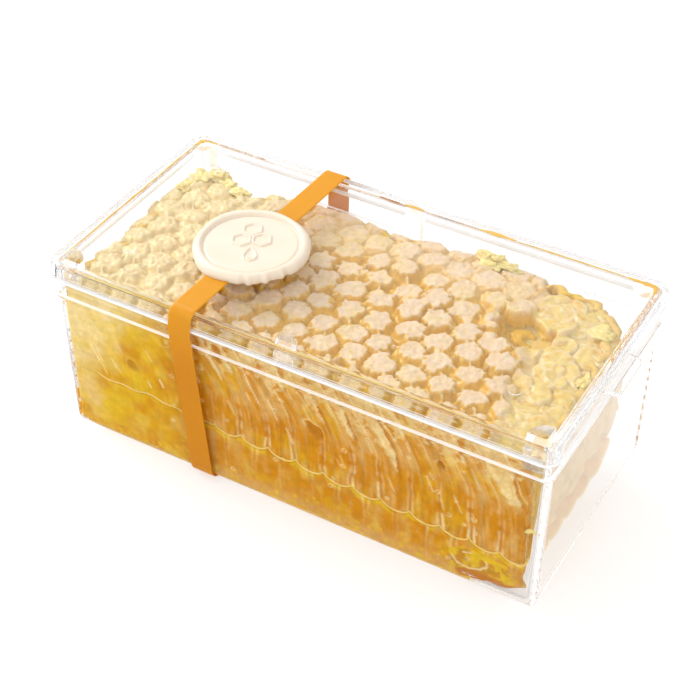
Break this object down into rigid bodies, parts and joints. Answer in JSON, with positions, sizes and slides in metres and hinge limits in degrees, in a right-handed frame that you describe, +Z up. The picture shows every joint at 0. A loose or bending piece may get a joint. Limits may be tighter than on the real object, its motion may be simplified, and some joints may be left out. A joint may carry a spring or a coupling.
{
  "type": "boxed honeycomb pack",
  "caption": "Clear plastic box with a lift-off lid that holds a cut piece of capped honeycomb, tied with an amber ribbon under a round wax seal.",
  "frame": {"origin": "bottom centre of the whole pack's box, on the surface that it stands on", "axes": "+X along the box towards the lid's thumb tab, +Y from the front wall, where the comb's cut face shows, to the back, +Z up"},
  "size_m": [0.1138, 0.0566, 0.0472],
  "materials": {
    "clear_plastic": "clear gloss polystyrene",
    "amber_satin": "satin ribbon",
    "ivory_wax": "pearly sealing wax",
    "capped_comb": "wax cappings over amber honey",
    "pale_wax": "translucent beeswax",
    "honey_comb": "cut comb wet with honey",
    "honey": "clear amber honey"
  },
  "bodies": {
    "root": {"tray": "clear_plastic", "lid": "clear_plastic", "ribbon": "amber_satin", "seal": "ivory_wax", "upper_comb": "capped_comb", "midrib": "pale_wax", "lower_comb": "honey_comb", "honey_pool": "honey"}
  },
  "joints": []
}
